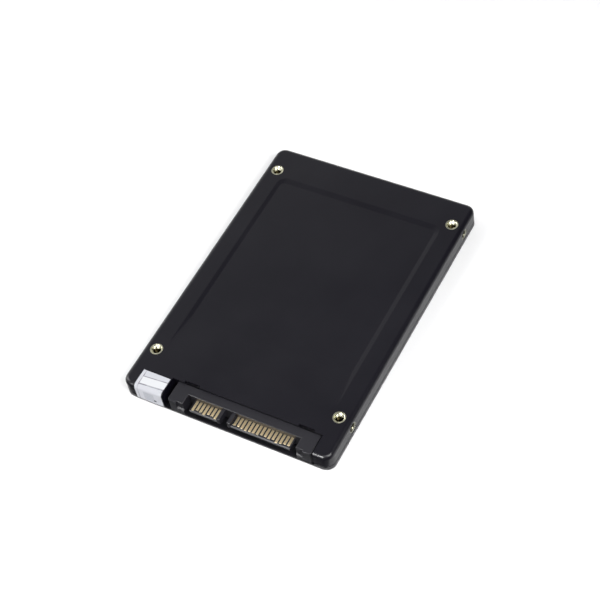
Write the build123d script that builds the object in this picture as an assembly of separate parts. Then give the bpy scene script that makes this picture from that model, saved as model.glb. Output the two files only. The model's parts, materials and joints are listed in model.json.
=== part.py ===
from build123d import *
import math
import os

# A 2.5 inch, 7 mm solid state drive that lies label side down.
# The origin is the centre of the label-side face, +Z points to the face with the four
# threaded nuts, +X runs across the width, and the connector is at the -Y end.
# All sizes are in millimetres.

# ---- case, overall ----
CASE_WIDTH = 69.85
CASE_LENGTH = 100.2
CASE_HEIGHT = 7.0
CORNER_RADIUS = 3.0
PARTING_HEIGHT = 2.2
WALL = 1.5
ROOF = 0.8
FLOOR = 1.0
TOP_EDGE_RADIUS = 1.4
BOTTOM_EDGE_RADIUS = 0.6

# ---- sunk panel in the middle of the big face ----
PANEL_DEPTH = 0.15
PANEL_SIDE_MARGIN = 6.4
PANEL_FAR_MARGIN = 11.6
PANEL_NEAR_MARGIN = 15.6
PANEL_SIDE_RAMP = 1.4
PANEL_FAR_RAMP = 2.0
PANEL_NEAR_RAMP = 13.0
PANEL_CORNER = 1.6

# ---- parting line between the two shells ----
GROOVE_HEIGHT = 0.3
GROOVE_DEPTH = 0.6
COVER_WALL = 1.3

# ---- threaded corner nuts: standard 2.5 inch drive positions ----
NUT_FRONT_SETBACK = 14.0
NUT_SPACING_Y = 76.6
NUT_SPACING_X = 61.72
SIDE_HOLE_HEIGHT = 4.0
THREAD_MINOR_RADIUS = 1.25
FACE_HOLE_DEPTH = 4.0
SIDE_HOLE_DEPTH = 2.4
FACE_COLLAR_RADIUS = 2.0
SIDE_COLLAR_RADIUS = 1.75
FACE_COLLAR_LENGTH = 1.2
SIDE_COLLAR_LENGTH = 1.0
NUT_INBOARD = 2.6
NUT_HALF_LENGTH = 2.6
NUT_FLOOR_GAP = 0.2
NUT_BLOCK_RADIUS = 0.4
NUT_BOSS_WALL = 1.0
NUT_SINK = 0.05
THREAD_LEAD_IN = 0.35

# ---- connector ----
CONNECTOR_OFFSET = 4.8
CONTACT_PITCH = 1.27
SIGNAL_COUNT = 7
POWER_COUNT = 15
SIGNAL_TO_POWER = 6.35
TONGUE_OUTER_MARGIN = 0.82
TONGUE_INNER_MARGIN = 1.97
TONGUE_THICKNESS = 1.23
TONGUE_CENTRE_HEIGHT = 3.5
TONGUE_FRONT_SETBACK = 0.3
TONGUE_FRONT_CHAMFER = 0.3
KEY_WIDTH = 1.1
KEY_RISE = 1.17
CONTACT_WIDTH = 0.84
CONTACT_THICKNESS = 0.2
CONTACT_PROUD = 0.05
CONTACT_BEND_RADIUS = 0.25
LONG_CONTACT_SETBACK = 0.35
MID_CONTACT_SETBACK = 0.6
SHORT_CONTACT_SETBACK = 0.85
LONG_SIGNAL_PINS = (1, 4, 7)
LONG_POWER_PINS = (4, 12)
MID_POWER_PINS = (3, 5, 6, 7, 10, 13)

HOUSING_WIDTH = 47.8
HOUSING_HEIGHT = 4.9
HOUSING_FLOOR_GAP = 0.05
HOUSING_FACE_SETBACK = 4.05
HOUSING_STEP_SETBACK = 8.9
HOUSING_BACK_SETBACK = 10.2
HOUSING_EDGE_RADIUS = 0.25
END_BLOCK_WIDTH = 5.1
END_BLOCK_SETBACK = 0.15
END_BLOCK_CHAMFER = 0.5
LEAD_IN_WIDTH = 2.3
LEAD_IN_DEPTH = 0.5
LEAD_IN_FLOOR = 2.65

# ---- opening in the case for the connector ----
NOTCH_LEFT_GAP = 1.7
NOTCH_RIGHT_GAP = 0.6
NOTCH_DEPTH = 6.9
NOTCH_WALL = 1.2
HOUSING_CLEARANCE = 0.05
SLIT_WIDTH = 0.65
SLIT_MARGIN = 0.3

# ---- metal hold-downs that solder the connector to the board ----
LOCK_THICKNESS = 0.35
LOCK_CONTACT_GAP = 0.6
LOCK_SIDE_WALL = 2.6
LOCK_TOP_DROP = 1.3
LOCK_BOSS_GAP = 0.1

# ---- circuit board ----
BOARD_SIDE_GAP = 0.26
BOARD_LENGTH = 55.0
BOARD_THICKNESS = 1.0
BOARD_TOP_HEIGHT = 3.3
BOARD_CORNER = 1.0
SCREW_INSET = 3.4
SCREW_HOLE_RADIUS = 1.2
BOARD_SCREW_RADIUS = 1.0
SCREW_HEAD_RADIUS = 1.8
SCREW_HEAD_HEIGHT = 0.9
SCREW_LENGTH = 3.2
SCREW_RECESS_RADIUS = 0.8
SCREW_RECESS_DEPTH = 0.5
SCREW_BOSS_RADIUS = 2.4
FRONT_SCREW_SETBACK = 5.2

# ---- contact feet ----
FOOT_LENGTH = 1.6
FOOT_GAP = 0.15

# ---- snap hooks ----
HOOK_SPACING = 25.0
HOOKS_PER_SIDE = 3
END_HOOK_SPACING = 30.0
HOOK_WIDTH = 5.0
HOOK_THICKNESS = 1.0
HOOK_CLEARANCE = 0.1
HOOK_TOP = 4.6
HOOK_NOSE = 0.45
HOOK_NOSE_LOW = 3.6
HOOK_NOSE_FLAT = 0.3
HOOK_SLOT_MARGIN = 0.3
HOOK_SLOT_GAP = 0.1

# ---- stiffening ribs in the empty half of the case ----
RIB_COUNT = 3
RIB_THICKNESS = 0.8
RIB_HEIGHT = 1.2
RIB_PITCH = 9.0
RIB_SIDE_GAP = 6.0

# ---- labels ----
LABEL_WIDTH = 62.0
LABEL_LENGTH = 88.0
LABEL_CORNER = 1.5
LABEL_THICKNESS = 0.1
LABEL_RECESS = 0.15
LABEL_RECESS_GAP = 0.25
SEAL_WIDTH = 9.25
SEAL_CORNER_INSET = 4.5
SEAL_TOP_LENGTH = 6.1
SEAL_END_HEIGHT = 0.95
SEAL_THICKNESS = 0.08

# ---- chips and small parts on the board ----
CONTROLLER_SIZE = 14.0
CONTROLLER_HEIGHT = 1.1
FLASH_WIDTH = 12.0
FLASH_LENGTH = 18.0
FLASH_HEIGHT = 1.0
FLASH_GAP = 1.0
FLASH_COUNT = 4
MEMORY_WIDTH = 7.5
MEMORY_LENGTH = 13.3
MEMORY_HEIGHT = 1.0
PACKAGE_CHAMFER = 0.12
PIN_MARK_RADIUS = 0.45
PIN_MARK_DEPTH = 0.1
PIN_MARK_INSET = 1.3
POWER_CHIP_SIZE = 4.0
POWER_CHIP_HEIGHT = 0.8
SWITCH_CHIP_SIZE = 3.0
SWITCH_CHIP_HEIGHT = 0.75
ROM_BODY_WIDTH = 3.9
ROM_BODY_LENGTH = 4.9
ROM_HEIGHT = 1.5
ROM_LEG_PITCH = 1.27
ROM_LEG_WIDTH = 0.42
ROM_LEG_REACH = 1.0
ROM_LEG_THICKNESS = 0.2
ROM_STANDOFF = 0.15
CRYSTAL_LENGTH = 3.2
CRYSTAL_WIDTH = 2.5
CRYSTAL_HEIGHT = 0.7
CRYSTAL_LID_INSET = 0.2
CRYSTAL_LID_HEIGHT = 0.15
COIL_SIZE = 4.0
COIL_HEIGHT = 1.8
COIL_CORNER = 0.9
COIL_GROOVE = 0.15
TANTALUM_LENGTH = 3.5
TANTALUM_WIDTH = 2.8
TANTALUM_HEIGHT = 1.9
DIODE_LENGTH = 4.3
DIODE_WIDTH = 2.6
DIODE_HEIGHT = 1.1
BEAD_LENGTH = 2.0
BEAD_WIDTH = 1.25
BEAD_HEIGHT = 0.9
PASSIVE_ROW_GAP = 1.1
FLASH_CAPACITOR_PITCH = 3.2
SIDE_CAPACITORS = 4
SIDE_CAPACITOR_GAP = 1.3
SIDE_CAPACITOR_PITCH = 2.6
UNDERSIDE_COUNT = 5
UNDERSIDE_PITCH = 4.2
RESISTOR_COUNT = 9
RESISTOR_PITCH = 1.6
TANTALUM_COUNT = 2
CRYSTAL_SETBACK = 3.4
OVERLAP = 0.2
CAPACITOR_LENGTH = 1.6
CAPACITOR_WIDTH = 0.8
CAPACITOR_HEIGHT = 0.8
RESISTOR_LENGTH = 1.0
RESISTOR_WIDTH = 0.5
RESISTOR_HEIGHT = 0.35
BODY_EDGE = 0.08

# ---- gaps that set the board's layout ----
FLASH_POST_GAP = 1.2
CHIP_ROW_GAP = 2.2
MEMORY_GAP = 2.4
SMALL_CHIP_GAP = 0.8
POWER_GAP = 6.6
POWER_SHIFT = 2.0
TANTALUM_GAP = 0.7
PART_GAP = 0.7

# ---- places and heights that follow from the sizes above ----
HALF_WIDTH = CASE_WIDTH / 2
FRONT = -CASE_LENGTH / 2
BACK = CASE_LENGTH / 2
BORDER_HEIGHT = CASE_HEIGHT - SEAL_THICKNESS
PANEL_HEIGHT = BORDER_HEIGHT - PANEL_DEPTH
ROOF_INSIDE = PANEL_HEIGHT - ROOF
NUT_FRONT_Y = FRONT + NUT_FRONT_SETBACK
NUT_YS = (NUT_FRONT_Y, NUT_FRONT_Y + NUT_SPACING_Y)
NUT_X = NUT_SPACING_X / 2
TONGUE_LOW = TONGUE_CENTRE_HEIGHT - TONGUE_THICKNESS / 2
TONGUE_TOP = TONGUE_CENTRE_HEIGHT + TONGUE_THICKNESS / 2
TONGUE_FRONT = FRONT + TONGUE_FRONT_SETBACK
SIGNAL_SPAN = (SIGNAL_COUNT - 1) * CONTACT_PITCH
POWER_SPAN = (POWER_COUNT - 1) * CONTACT_PITCH
PIN_SPAN = SIGNAL_SPAN + SIGNAL_TO_POWER + POWER_SPAN
SIGNAL_FIRST_X = CONNECTOR_OFFSET - PIN_SPAN / 2
POWER_FIRST_X = SIGNAL_FIRST_X + SIGNAL_SPAN + SIGNAL_TO_POWER
SIGNAL_TONGUE = (SIGNAL_FIRST_X - TONGUE_OUTER_MARGIN, SIGNAL_FIRST_X + SIGNAL_SPAN + TONGUE_INNER_MARGIN)
POWER_TONGUE = (POWER_FIRST_X - TONGUE_INNER_MARGIN, POWER_FIRST_X + POWER_SPAN + TONGUE_OUTER_MARGIN)
HOUSING_LOW = FLOOR + HOUSING_FLOOR_GAP
HOUSING_TOP = HOUSING_LOW + HOUSING_HEIGHT
HOUSING_LEFT = CONNECTOR_OFFSET - HOUSING_WIDTH / 2
HOUSING_RIGHT = CONNECTOR_OFFSET + HOUSING_WIDTH / 2
HOUSING_FACE = FRONT + HOUSING_FACE_SETBACK
HOUSING_STEP = FRONT + HOUSING_STEP_SETBACK
HOUSING_BACK = FRONT + HOUSING_BACK_SETBACK
NOTCH_LEFT = HOUSING_LEFT - NOTCH_LEFT_GAP
NOTCH_RIGHT = HOUSING_RIGHT + NOTCH_RIGHT_GAP
NOTCH_BACK = FRONT + NOTCH_DEPTH
SLIT_BACK = NOTCH_BACK + SLIT_WIDTH
SIGNAL_LOCK = (HOUSING_LEFT + LOCK_SIDE_WALL, SIGNAL_FIRST_X - CONTACT_WIDTH / 2 - LOCK_CONTACT_GAP)
POWER_LOCK = (
    POWER_FIRST_X + POWER_SPAN + CONTACT_WIDTH / 2 + LOCK_CONTACT_GAP,
    HOUSING_RIGHT - LOCK_SIDE_WALL,
)
LOCK_PLACES = (SIGNAL_LOCK, POWER_LOCK)
LOCK_FOOT_END = NUT_FRONT_Y - NUT_HALF_LENGTH - NUT_BOSS_WALL - LOCK_BOSS_GAP
BOARD_WIDTH = 2 * (NUT_X - NUT_INBOARD - NUT_BOSS_WALL - BOARD_SIDE_GAP)
BOARD_LOW_HEIGHT = BOARD_TOP_HEIGHT - BOARD_THICKNESS
BOARD_FRONT = HOUSING_STEP
BOARD_BACK = BOARD_FRONT + BOARD_LENGTH
CONTACT_TOP = TONGUE_TOP + CONTACT_PROUD
CONTACT_LOW = CONTACT_TOP - CONTACT_THICKNESS
SCREW_X = BOARD_WIDTH / 2 - SCREW_INSET
SCREW_PLACES = (
    (-SCREW_X, BOARD_FRONT + FRONT_SCREW_SETBACK),
    (-SCREW_X, BOARD_BACK - SCREW_INSET),
    (SCREW_X, BOARD_BACK - SCREW_INSET),
)
SEAL_LEFT = -HALF_WIDTH + SEAL_CORNER_INSET
HOOK_FACE = HALF_WIDTH - WALL - HOOK_CLEARANCE
END_HOOK_FACE = BACK - WALL - HOOK_CLEARANCE
HOOK_CENTRE_Y = NUT_FRONT_Y + NUT_SPACING_Y / 2
HOOK_YS = [HOOK_CENTRE_Y + (i - (HOOKS_PER_SIDE - 1) / 2) * HOOK_SPACING for i in range(HOOKS_PER_SIDE)]
CONTACT_FOOT_END = HOUSING_BACK + FOOT_GAP + FOOT_LENGTH
FLASH_Y = BOARD_BACK - SCREW_INSET - SCREW_BOSS_RADIUS - FLASH_POST_GAP - FLASH_LENGTH / 2
FLASH_PITCH = FLASH_WIDTH + FLASH_GAP
CONTROLLER_Y = FLASH_Y - FLASH_LENGTH / 2 - CONTROLLER_SIZE / 2 - CHIP_ROW_GAP
MEMORY_X = -(CONTROLLER_SIZE + MEMORY_WIDTH) / 2 - MEMORY_GAP
SMALL_CHIP_X = MEMORY_X - MEMORY_WIDTH / 2 - ROM_BODY_WIDTH / 2 - ROM_LEG_REACH - SMALL_CHIP_GAP
POWER_X = (CONTROLLER_SIZE + COIL_SIZE) / 2 + POWER_GAP
POWER_Y = CONTROLLER_Y - POWER_SHIFT
EDGE_PART_X = POWER_X + (COIL_SIZE + TANTALUM_LENGTH) / 2 + PART_GAP


def block(x_low, x_high, y_low, y_high, z_low, z_high):
    """A plain block between two corners."""
    size = Box(x_high - x_low, y_high - y_low, z_high - z_low, align=(Align.MIN, Align.MIN, Align.MIN))
    return Pos(x_low, y_low, z_low) * size


def rounded_plate(width, length, radius, z_low, z_high):
    """A plate with rounded upright corners, centred on the case."""
    return Pos(0, 0, z_low) * extrude(RectangleRounded(width, length, radius), z_high - z_low)


def upright_rod(x, y, radius, z_low, z_high):
    """A round rod that stands along Z."""
    rod = Cylinder(radius, z_high - z_low, align=(Align.CENTER, Align.CENTER, Align.MIN))
    return Pos(x, y, z_low) * rod


def cross_rod(x_low, x_high, y, z, radius):
    """A round rod that lies along X."""
    rod = Cylinder(radius, x_high - x_low, align=(Align.CENTER, Align.CENTER, Align.MIN))
    return Pos(x_low, y, z) * (Rot(0, 90, 0) * rod)


def top_edges(solid):
    """The edges around a solid's highest face."""
    return solid.faces().sort_by(Axis.Z)[-1].edges()


def bottom_edges(solid):
    """The edges around a solid's lowest face."""
    return solid.faces().sort_by(Axis.Z)[0].edges()


def both_sides(solid):
    """A solid and its mirror image across the case's middle plane."""
    return [solid, mirror(solid, Plane.YZ)]


def sunk_panel():
    """The shallow hollow in the big face; its ramp is longest at the connector end."""
    mouth_near = FRONT + PANEL_NEAR_MARGIN
    mouth_far = BACK - PANEL_FAR_MARGIN
    floor_near = mouth_near + PANEL_NEAR_RAMP
    floor_far = mouth_far - PANEL_FAR_RAMP
    mouth_width = CASE_WIDTH - 2 * PANEL_SIDE_MARGIN
    floor_width = mouth_width - 2 * PANEL_SIDE_RAMP
    mouth = RectangleRounded(mouth_width, mouth_far - mouth_near, PANEL_CORNER + PANEL_SIDE_RAMP)
    floor = RectangleRounded(floor_width, floor_far - floor_near, PANEL_CORNER)
    mouth = Pos(0, (mouth_near + mouth_far) / 2, BORDER_HEIGHT) * mouth
    floor = Pos(0, (floor_near + floor_far) / 2, PANEL_HEIGHT) * floor
    return loft([floor, mouth], ruled=True)


def notch_outline(z_low, z_high):
    """The opening at the connector end, with two short slits in its back edge."""
    opening = block(NOTCH_LEFT, NOTCH_RIGHT, FRONT - 1, NOTCH_BACK, z_low, z_high)
    for left, right in LOCK_PLACES:
        opening += block(left - SLIT_MARGIN, right + SLIT_MARGIN, NOTCH_BACK - 1, SLIT_BACK, z_low, z_high)
    return opening


def notch_walls(z_low, z_high):
    """The walls on both sides of the connector, and the webs that close in on its housing."""
    inside_front = FRONT + WALL
    web_back = NOTCH_BACK + NOTCH_WALL
    left = block(NOTCH_LEFT - NOTCH_WALL, NOTCH_LEFT, inside_front, web_back, z_low, z_high)
    right = block(NOTCH_RIGHT, NOTCH_RIGHT + NOTCH_WALL, inside_front, web_back, z_low, z_high)
    left += block(NOTCH_LEFT, HOUSING_LEFT - HOUSING_CLEARANCE, NOTCH_BACK, web_back, z_low, z_high)
    right += block(HOUSING_RIGHT + HOUSING_CLEARANCE, NOTCH_RIGHT, NOTCH_BACK, web_back, z_low, z_high)
    return left, right


def nut_body(through=0.0):
    """One corner nut on the +X side, without its holes; its collars may be drawn longer, to cut with."""
    block_top = BORDER_HEIGHT - NUT_SINK - FACE_COLLAR_LENGTH
    block_side = HALF_WIDTH - NUT_SINK - SIDE_COLLAR_LENGTH
    body = block(
        NUT_X - NUT_INBOARD,
        block_side,
        -NUT_HALF_LENGTH,
        NUT_HALF_LENGTH,
        PARTING_HEIGHT + NUT_FLOOR_GAP,
        block_top,
    )
    body = fillet(body.edges().filter_by(Axis.Z), NUT_BLOCK_RADIUS)
    face_end = BORDER_HEIGHT - NUT_SINK + through
    side_end = HALF_WIDTH - NUT_SINK + through
    body += upright_rod(NUT_X, 0, FACE_COLLAR_RADIUS, block_top - 0.5, face_end)
    body += cross_rod(block_side - 0.5, side_end, 0, SIDE_HOLE_HEIGHT, SIDE_COLLAR_RADIUS)
    return body


def nut_holes():
    """The two blind threaded holes of a corner nut, with a small lead-in at each mouth."""
    face_top = BORDER_HEIGHT - NUT_SINK
    side_end = HALF_WIDTH - NUT_SINK
    mouth_radius = THREAD_MINOR_RADIUS + THREAD_LEAD_IN
    sunk = (Align.CENTER, Align.CENTER, Align.MAX)
    lead_in = Cone(THREAD_MINOR_RADIUS, mouth_radius, THREAD_LEAD_IN, align=sunk)
    holes = upright_rod(NUT_X, 0, THREAD_MINOR_RADIUS, BORDER_HEIGHT - FACE_HOLE_DEPTH, face_top)
    holes += cross_rod(HALF_WIDTH - SIDE_HOLE_DEPTH, side_end, 0, SIDE_HOLE_HEIGHT, THREAD_MINOR_RADIUS)
    holes += Pos(NUT_X, 0, face_top) * lead_in
    holes += Pos(side_end, 0, SIDE_HOLE_HEIGHT) * (Rot(0, 90, 0) * lead_in)
    return holes


def at_corners(solid):
    """A +X piece, drawn at y = 0, repeated at the four corner nuts."""
    copies = []
    for y in NUT_YS:
        copies.extend(both_sides(Pos(0, y, 0) * solid))
    return copies


def corner_nuts():
    """Four brass nuts, each with a hole in the big face and one in the side wall."""
    return at_corners(nut_body() - nut_holes())


def nut_bosses():
    """The solid corners of the base case that the nuts are moulded into."""
    reach = NUT_HALF_LENGTH + NUT_BOSS_WALL
    inboard = NUT_X - NUT_INBOARD - NUT_BOSS_WALL
    boss = block(inboard, HALF_WIDTH - WALL + 0.2, -reach, reach, PARTING_HEIGHT, ROOF_INSIDE + 0.2)
    return at_corners(boss)


def hook_profile(face):
    """A snap hook's upright section: a stem with a wedge-shaped nose that points outwards."""
    stem_back = face - HOOK_THICKNESS
    nose_tip = face + HOOK_NOSE
    corners = [
        (stem_back, FLOOR - 0.2),
        (face, FLOOR - 0.2),
        (face, HOOK_NOSE_LOW),
        (nose_tip, HOOK_NOSE_LOW),
        (nose_tip, HOOK_NOSE_LOW + HOOK_NOSE_FLAT),
        (face, HOOK_TOP),
        (stem_back, HOOK_TOP),
    ]
    return make_face(Polyline(*corners, close=True))


def side_hook(y):
    """A snap hook on the +X side of the cover."""
    section = Plane.XZ * hook_profile(HOOK_FACE)
    return Pos(0, y, 0) * extrude(section, HOOK_WIDTH / 2, both=True)


def end_hook(x):
    """A snap hook at the +Y end of the cover."""
    section = Plane.YZ * hook_profile(END_HOOK_FACE)
    return Pos(x, 0, 0) * extrude(section, HOOK_WIDTH / 2, both=True)


def cover_hooks():
    """All the snap hooks of the cover."""
    hooks = []
    for y in HOOK_YS:
        hooks.extend(both_sides(side_hook(y)))
    hooks.extend(both_sides(end_hook(END_HOOK_SPACING / 2)))
    return hooks


def hook_slots():
    """The slots in the base case's walls that the hooks' noses snap into."""
    half = HOOK_WIDTH / 2 + HOOK_SLOT_MARGIN
    low = HOOK_NOSE_LOW - HOOK_SLOT_GAP
    high = HOOK_TOP + HOOK_SLOT_GAP
    slots = []
    for y in HOOK_YS:
        deep = HOOK_FACE + HOOK_NOSE + HOOK_SLOT_GAP
        slots.extend(both_sides(block(HOOK_FACE, deep, y - half, y + half, low, high)))
    x = END_HOOK_SPACING / 2
    deep = END_HOOK_FACE + HOOK_NOSE + HOOK_SLOT_GAP
    slots.extend(both_sides(block(x - half, x + half, END_HOOK_FACE, deep, low, high)))
    return slots


def housing_bay():
    """The room that the connector's housing takes under the roof."""
    left = HOUSING_LEFT - HOUSING_CLEARANCE
    right = HOUSING_RIGHT + HOUSING_CLEARANCE
    return block(left, right, NOTCH_BACK, HOUSING_BACK + HOUSING_CLEARANCE, PARTING_HEIGHT - 1, ROOF_INSIDE)


def screw_bosses():
    """The three posts under the roof that the board is screwed to."""
    post_end = ROOF_INSIDE + OVERLAP
    return [upright_rod(x, y, SCREW_BOSS_RADIUS, BOARD_TOP_HEIGHT, post_end) for x, y in SCREW_PLACES]


def screw_bores():
    """The holes in those posts for the board screws."""
    tip = BOARD_LOW_HEIGHT + SCREW_LENGTH
    return [upright_rod(x, y, BOARD_SCREW_RADIUS, BOARD_TOP_HEIGHT, tip) for x, y in SCREW_PLACES]


def rib_places():
    """The middle line of each stiffening rib, counted back from the case's far end."""
    first = BACK - WALL - RIB_PITCH
    return [first - i * RIB_PITCH for i in range(RIB_COUNT)]


def ribs(z_low, z_high):
    """Ribs across the empty half of the case."""
    reach = NUT_X - NUT_INBOARD - NUT_BOSS_WALL - RIB_SIDE_GAP
    half = RIB_THICKNESS / 2
    return [block(-reach, reach, y - half, y + half, z_low, z_high) for y in rib_places()]


def base_case():
    """The deep shell with the big face: walls, corner nuts' bosses, screw posts and notch."""
    shell = rounded_plate(CASE_WIDTH, CASE_LENGTH, CORNER_RADIUS, PARTING_HEIGHT, BORDER_HEIGHT)
    shell = fillet(top_edges(shell), TOP_EDGE_RADIUS)
    shell -= sunk_panel()
    inside_corner = max(CORNER_RADIUS - WALL, 0.3)
    shell -= rounded_plate(
        CASE_WIDTH - 2 * WALL,
        CASE_LENGTH - 2 * WALL,
        inside_corner,
        PARTING_HEIGHT - 1,
        ROOF_INSIDE,
    )
    shell += nut_bosses()
    shell -= at_corners(nut_body(through=1.0))
    shell += notch_walls(PARTING_HEIGHT, ROOF_INSIDE + 0.2)
    shell += ribs(ROOF_INSIDE - RIB_HEIGHT, ROOF_INSIDE + 0.2)
    shell -= notch_outline(0, CASE_HEIGHT + 1)
    shell -= housing_bay()
    shell += screw_bosses()
    shell -= screw_bores()
    shell -= hook_slots()
    return shell


def label_cover():
    """The shallow shell on the label side, with a rim, snap hooks and a recess for the label."""
    shell = rounded_plate(CASE_WIDTH, CASE_LENGTH, CORNER_RADIUS, 0, PARTING_HEIGHT)
    shell = fillet(bottom_edges(shell), BOTTOM_EDGE_RADIUS)
    inside_corner = max(CORNER_RADIUS - COVER_WALL, 0.3)
    shell -= rounded_plate(
        CASE_WIDTH - 2 * COVER_WALL,
        CASE_LENGTH - 2 * COVER_WALL,
        inside_corner,
        FLOOR,
        PARTING_HEIGHT + 1,
    )
    shell += notch_walls(FLOOR - 0.2, PARTING_HEIGHT)
    shell -= block(NOTCH_LEFT, NOTCH_RIGHT, FRONT - 1, NOTCH_BACK, FLOOR, PARTING_HEIGHT + 1)
    step_low = PARTING_HEIGHT - GROOVE_HEIGHT
    outer = rounded_plate(CASE_WIDTH + 2, CASE_LENGTH + 2, CORNER_RADIUS + 1, step_low, PARTING_HEIGHT + 1)
    inner_corner = max(CORNER_RADIUS - GROOVE_DEPTH, 0.3)
    inner = rounded_plate(
        CASE_WIDTH - 2 * GROOVE_DEPTH,
        CASE_LENGTH - 2 * GROOVE_DEPTH,
        inner_corner,
        step_low,
        PARTING_HEIGHT + 1,
    )
    shell -= outer - inner
    shell += cover_hooks()
    shell += ribs(FLOOR - 0.2, PARTING_HEIGHT)
    shell -= rounded_plate(
        LABEL_WIDTH + 2 * LABEL_RECESS_GAP,
        LABEL_LENGTH + 2 * LABEL_RECESS_GAP,
        LABEL_CORNER + LABEL_RECESS_GAP,
        -1,
        LABEL_RECESS,
    )
    return shell


def product_label():
    """The flat label that lies in the cover's recess."""
    low = LABEL_RECESS - LABEL_THICKNESS
    return rounded_plate(LABEL_WIDTH, LABEL_LENGTH, LABEL_CORNER, low, LABEL_RECESS)


def corner_seal():
    """The sticker that folds over the front edge of the case and across the parting line."""
    top = BORDER_HEIGHT
    fold = TOP_EDGE_RADIUS
    back = FRONT + SEAL_TOP_LENGTH
    bend = math.sqrt(0.5)
    centre = (FRONT + fold, top - fold)
    outer_fold = fold + SEAL_THICKNESS
    inner_mid = (centre[0] - fold * bend, centre[1] + fold * bend)
    outer_mid = (centre[0] - outer_fold * bend, centre[1] + outer_fold * bend)
    outline = Polyline((back, top + SEAL_THICKNESS), (back, top), (centre[0], top))
    outline += ThreePointArc((centre[0], top), inner_mid, (FRONT, centre[1]))
    outline += Polyline(
        (FRONT, centre[1]),
        (FRONT, SEAL_END_HEIGHT),
        (FRONT - SEAL_THICKNESS, SEAL_END_HEIGHT),
        (FRONT - SEAL_THICKNESS, centre[1]),
    )
    outline += ThreePointArc(
        (FRONT - SEAL_THICKNESS, centre[1]),
        outer_mid,
        (centre[0], top + SEAL_THICKNESS),
    )
    outline += Line((centre[0], top + SEAL_THICKNESS), (back, top + SEAL_THICKNESS))
    section = Plane.YZ * make_face(outline)
    return Pos(SEAL_LEFT, 0, 0) * extrude(section, SEAL_WIDTH)


def tongue(x_low, x_high, key_low):
    """One contact blade of the plug, with the raised key leg at its inner end."""
    blade = block(x_low, x_high, TONGUE_FRONT, HOUSING_FACE + 0.5, TONGUE_LOW, TONGUE_TOP)
    tip = blade.faces().sort_by(Axis.Y)[0].edges().filter_by(Axis.X)
    blade = chamfer(tip, TONGUE_FRONT_CHAMFER)
    key_high = key_low + KEY_WIDTH
    key_top = TONGUE_TOP + KEY_RISE
    key = block(key_low, key_high, TONGUE_FRONT, HOUSING_FACE + 0.5, TONGUE_LOW, key_top)
    nose = key.faces().sort_by(Axis.Y)[0].edges().filter_by(Axis.X)
    return blade + fillet(nose, TONGUE_FRONT_CHAMFER)


def end_block(side):
    """A guide block at one end of the plug, with a stepped lead-in at its inner front corner."""
    outer = CONNECTOR_OFFSET + side * HOUSING_WIDTH / 2
    inner = outer - side * END_BLOCK_WIDTH
    front = FRONT + END_BLOCK_SETBACK
    body = block(min(outer, inner), max(outer, inner), front, HOUSING_FACE + 0.5, HOUSING_LOW, HOUSING_TOP)
    outer_corner = body.edges().filter_by(Axis.Z).filter_by(lambda e: abs(e.center().X - outer) < 0.01)
    body = chamfer(outer_corner.sort_by(Axis.Y)[0], END_BLOCK_CHAMFER)
    cut = inner + side * LEAD_IN_WIDTH
    ramp = make_face(
        Polyline(
            (front - 1, LEAD_IN_FLOOR - 1),
            (front + LEAD_IN_DEPTH, LEAD_IN_FLOOR + LEAD_IN_DEPTH),
            (front + LEAD_IN_DEPTH, HOUSING_TOP + 1),
            (front - 1, HOUSING_TOP + 1),
            close=True,
        )
    )
    wedge = Pos(min(inner, cut), 0, 0) * extrude(Plane.YZ * ramp, LEAD_IN_WIDTH)
    return body - wedge


def lock_slot(place, gap):
    """The space that a hold-down takes in the housing, grown by a gap."""
    left = place[0] - gap
    right = place[1] + gap
    plate_front = NOTCH_BACK + (SLIT_WIDTH - LOCK_THICKNESS) / 2
    plate_back = plate_front + LOCK_THICKNESS
    foot_top = BOARD_TOP_HEIGHT + LOCK_THICKNESS
    plate_top = HOUSING_TOP - LOCK_TOP_DROP
    plate = block(left, right, plate_front - gap, plate_back + gap, BOARD_TOP_HEIGHT, plate_top)
    return plate + block(left, right, plate_front - gap, LOCK_FOOT_END, BOARD_TOP_HEIGHT, foot_top + gap)


def board_locks():
    """Two bent metal strips: each stands in the housing and its foot is soldered to the board."""
    return [lock_slot(place, 0) for place in LOCK_PLACES]


def sata_housing():
    """The moulded plug: back wall, two contact blades, two guide blocks."""
    wall = block(HOUSING_LEFT, HOUSING_RIGHT, HOUSING_FACE, HOUSING_STEP, HOUSING_LOW, HOUSING_TOP)
    rear = HOUSING_STEP - 0.5
    wall += block(HOUSING_LEFT, HOUSING_RIGHT, rear, HOUSING_BACK, BOARD_TOP_HEIGHT, HOUSING_TOP)
    body = wall + end_block(-1) + end_block(1)
    body = fillet(top_edges(body), HOUSING_EDGE_RADIUS)
    body += tongue(SIGNAL_TONGUE[0], SIGNAL_TONGUE[1], SIGNAL_TONGUE[1] - KEY_WIDTH)
    body += tongue(POWER_TONGUE[0], POWER_TONGUE[1], POWER_TONGUE[0])
    for x, front in contact_places():
        half = CONTACT_WIDTH / 2
        body -= block(x - half, x + half, front, HOUSING_BACK + 1, CONTACT_LOW, CONTACT_TOP)
    for place in LOCK_PLACES:
        body -= lock_slot(place, HOUSING_CLEARANCE)
        left = place[0] - SLIT_MARGIN
        right = place[1] + SLIT_MARGIN
        body -= block(left, right, NOTCH_BACK, SLIT_BACK, HOUSING_TOP - LOCK_TOP_DROP, HOUSING_TOP + 1)
    return body


def contact_front(pin, long_pins, mid_pins):
    """Where a contact's front end lies: ground contacts reach furthest and mate first."""
    if pin in long_pins:
        return TONGUE_FRONT + LONG_CONTACT_SETBACK
    if pin in mid_pins:
        return TONGUE_FRONT + MID_CONTACT_SETBACK
    return TONGUE_FRONT + SHORT_CONTACT_SETBACK


def signal_places():
    """The x place and the front end of each signal contact."""
    pins = range(1, SIGNAL_COUNT + 1)
    return [(SIGNAL_FIRST_X + (p - 1) * CONTACT_PITCH, contact_front(p, LONG_SIGNAL_PINS, ())) for p in pins]


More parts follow.
